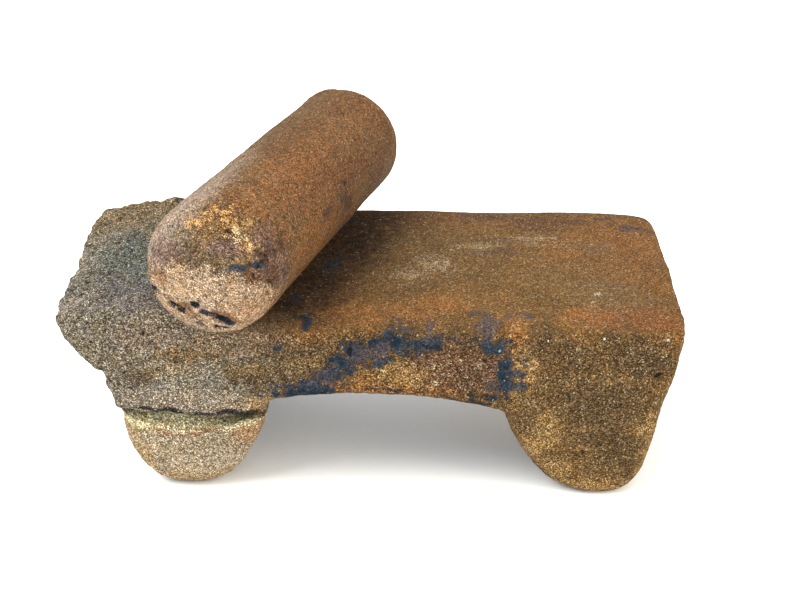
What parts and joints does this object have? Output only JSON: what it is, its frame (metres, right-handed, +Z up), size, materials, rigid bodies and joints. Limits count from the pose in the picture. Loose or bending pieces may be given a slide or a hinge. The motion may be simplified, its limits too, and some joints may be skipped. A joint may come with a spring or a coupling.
{
  "type": "saddle quern",
  "caption": "Low legged stone quern with a shallowly dished top, a broken leg standing under its stump, and a blunt roller handstone lying across it.",
  "frame": {"origin": "on the floor, under the middle of the whole object's box", "axes": "+X along the slab, away from the broken leg; +Y from the front face to the back face; +Z up"},
  "size_m": [0.3636, 0.2293, 0.1998],
  "materials": {
    "quern_stone": "weathered brown sandstone, ground smoother on top, with blue-black stains",
    "broken_leg_stone": "pale tan sandstone, rough and yellowish where it broke",
    "handstone_stone": "brown sandstone, rubbed smooth along its barrel and chipped at one end"
  },
  "bodies": {
    "root": {"quern": "quern_stone", "broken_leg": "broken_leg_stone", "handstone": "handstone_stone"}
  },
  "joints": []
}
